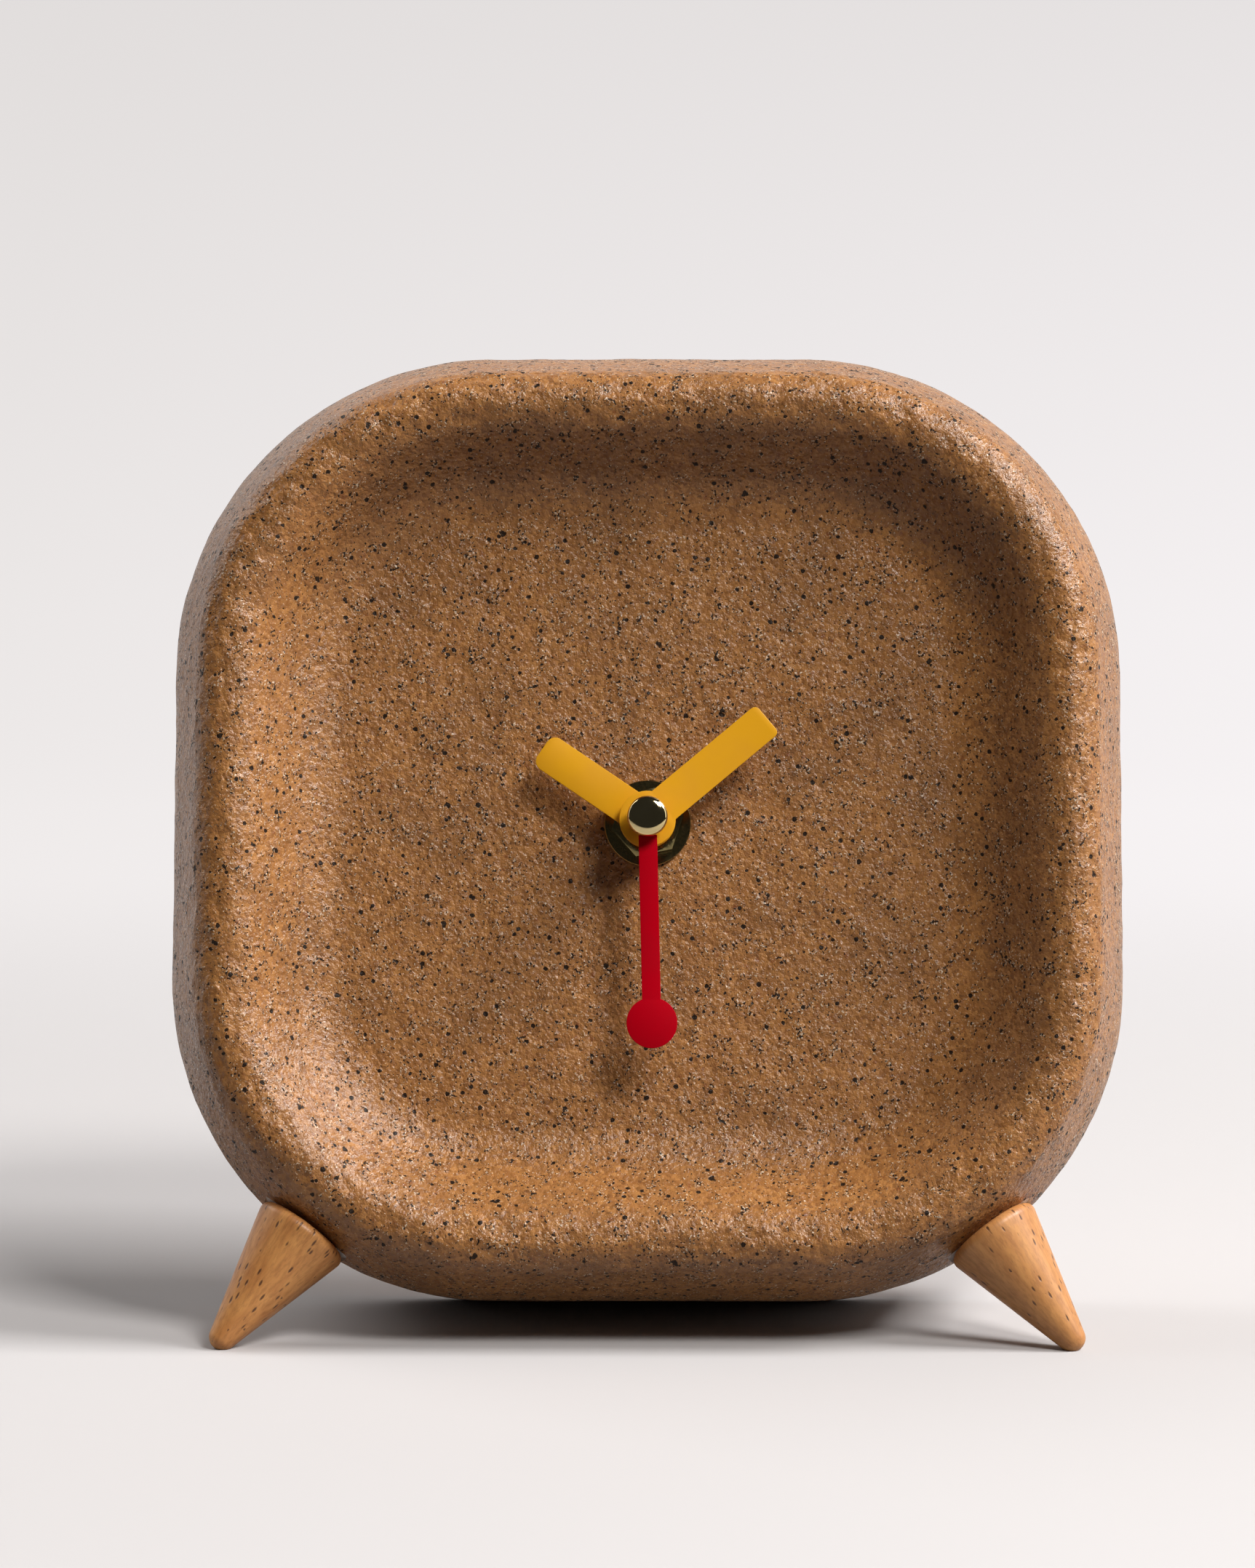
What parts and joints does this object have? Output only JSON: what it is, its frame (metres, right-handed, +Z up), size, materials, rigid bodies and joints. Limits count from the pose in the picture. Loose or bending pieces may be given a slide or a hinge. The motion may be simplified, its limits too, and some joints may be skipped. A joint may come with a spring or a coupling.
{
  "type": "desk clock",
  "caption": "Rounded-square desk clock with a dished numberless face, bar hands and two splayed turned legs; it leans back on its rear edge and runs on a quartz movement.",
  "frame": {"origin": "middle of the outer box, on the table plane", "axes": "+X to the right as seen from the face, +Y from the face to the back, +Z up; the clock itself leans back 12 degrees about X"},
  "size_m": [0.165, 0.0808, 0.168],
  "materials": {
    "pressed_fibre": "granular pressed wood fibre, satin with small glossy facets and dark specks",
    "turned_wood": "turned light brown hardwood, oiled, fine dark pores along the grain",
    "dowel_wood": "plain beech dowel, unfinished",
    "yellow_paint": "satin warm yellow paint on thin sheet",
    "red_paint": "satin deep red paint on thin sheet",
    "polished_brass": "mirror-polished pale brass",
    "dark_brass": "polished brass that reflects a dark room",
    "gasket_rubber": "matt black rubber",
    "plain_steel": "plain bright steel",
    "white_acetal": "satin off-white moulded acetal",
    "magnet": "dark plated sintered magnet",
    "dark_plastic": "satin dark moulded plastic",
    "copper_wire": "enamelled copper wire, close wound",
    "green_board": "green coated circuit board",
    "chip_resin": "glossy black potting resin",
    "black_plastic": "fine-textured black moulded plastic",
    "cell_sleeve": "plain blue-grey sleeve with no print",
    "nickel_spring": "nickel-plated spring strip"
  },
  "bodies": {
    "base": {"clock_body": "pressed_fibre", "left_leg": "turned_wood", "right_leg": "turned_wood", "left_leg_dowel": "dowel_wood", "right_leg_dowel": "dowel_wood", "rubber_gasket": "gasket_rubber", "dial_washer": "dark_brass", "hex_nut": "dark_brass", "stator": "plain_steel", "coil_core": "plain_steel", "coil_bobbin": "dark_plastic", "coil_winding": "copper_wire", "circuit_board": "green_board", "timing_chip": "chip_resin", "quartz_crystal": "plain_steel", "movement_case": "black_plastic", "train_bridge": "black_plastic", "movement_cover": "black_plastic", "cover_screw_1": "plain_steel", "cover_screw_2": "plain_steel", "battery_contact_positive": "nickel_spring", "battery_contact_negative": "nickel_spring"},
    "seconds": {"seconds_wheel": "plain_steel", "second_hand": "red_paint", "second_hand_tube": "dark_brass", "hub_cap": "polished_brass"},
    "minutes": {"minute_wheel": "dark_brass", "minute_hand": "yellow_paint"},
    "hours": {"hour_wheel": "dark_brass", "hour_hand": "yellow_paint"},
    "third": {"third_wheel": "white_acetal"},
    "fifth": {"fifth_wheel": "white_acetal"},
    "rotor": {"rotor_pinion": "white_acetal", "rotor_magnet": "magnet"},
    "works": {"works_wheel": "white_acetal", "setting_knob": "black_plastic"},
    "battery": {"battery_cell": "cell_sleeve"}
  },
  "joints": [
    {"name": "second_spin", "type": "hinge", "parent": "base", "child": "seconds", "pos_m": [0, -0.00566, 0.08616], "axis": [0, 0.9781, -0.2079], "continuous": true},
    {"name": "minute_spin", "type": "hinge", "parent": "base", "child": "minutes", "pos_m": [0, -0.00566, 0.08616], "axis": [0, 0.9781, -0.2079], "continuous": true},
    {"name": "hour_spin", "type": "hinge", "parent": "base", "child": "hours", "pos_m": [0, -0.00566, 0.08616], "axis": [0, 0.9781, -0.2079], "continuous": true},
    {"name": "third_wheel_spin", "type": "hinge", "parent": "base", "child": "third", "pos_m": [-0.0101, 0.00021, 0.08492], "axis": [0, 0.9781, -0.2079], "continuous": true},
    {"name": "fifth_wheel_spin", "type": "hinge", "parent": "base", "child": "fifth", "pos_m": [0.00827, 0.00736, 0.08489], "axis": [0, 0.9781, -0.2079], "continuous": true},
    {"name": "rotor_spin", "type": "hinge", "parent": "base", "child": "rotor", "pos_m": [0.01177, 0.00862, 0.09082], "axis": [0, 0.9781, -0.2079], "continuous": true},
    {"name": "works_spin", "type": "hinge", "parent": "base", "child": "works", "pos_m": [0, 0.0063, 0.09435], "axis": [0, 0.9781, -0.2079], "continuous": true},
    {"name": "battery_slide", "type": "slide", "parent": "base", "child": "battery", "axis": [0, 0.9781, -0.2079], "range_m": [0, 0.03]}
  ],
  "couplings": [
    {"joint": "minute_spin", "follows": "second_spin", "ratio": 0.016667},
    {"joint": "hour_spin", "follows": "second_spin", "ratio": 0.0013889},
    {"joint": "third_wheel_spin", "follows": "second_spin", "ratio": -0.125},
    {"joint": "fifth_wheel_spin", "follows": "second_spin", "ratio": -5},
    {"joint": "rotor_spin", "follows": "second_spin", "ratio": 30},
    {"joint": "works_spin", "follows": "second_spin", "ratio": -0.0055556}
  ]
}
